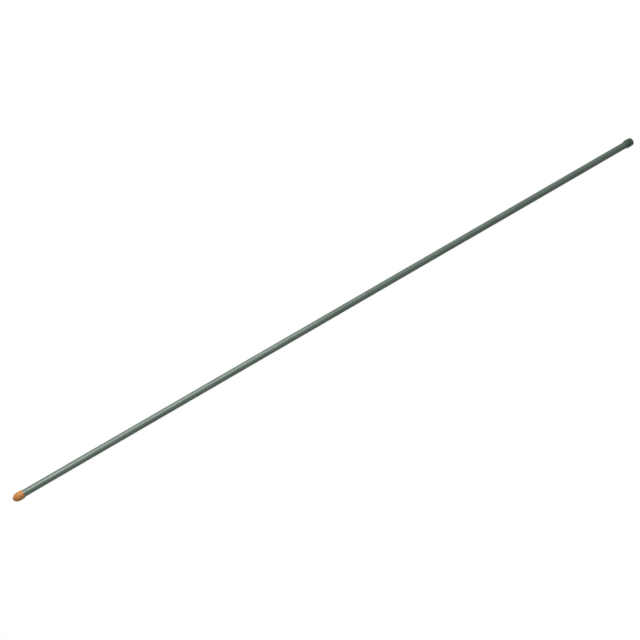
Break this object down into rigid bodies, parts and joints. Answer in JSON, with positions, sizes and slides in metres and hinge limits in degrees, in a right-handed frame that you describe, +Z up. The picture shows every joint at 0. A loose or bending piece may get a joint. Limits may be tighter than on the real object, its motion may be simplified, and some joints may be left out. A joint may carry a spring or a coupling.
{
  "type": "plant stake",
  "caption": "Slim straight garden stake: a plastic-sheathed steel tube with a rounded push-on ground point and a tapered flat-topped cap.",
  "frame": {"origin": "tip of the ground point, on the stake's axis, at the lowest point of the part", "axes": "+Z up the stake's axis, from the ground point to the top cap; the stake is round, so +X and +Y are free, and the tube's weld seam faces +X"},
  "size_m": [0.0148, 0.0148, 1.2],
  "materials": {
    "tube_steel": "satin",
    "sheath_plastic": "satin",
    "point_plastic": "satin",
    "cap_plastic": "satin"
  },
  "bodies": {
    "root": {"steel_tube": "tube_steel", "plastic_sheath": "sheath_plastic", "ground_point": "point_plastic", "top_cap": "cap_plastic"}
  },
  "joints": []
}
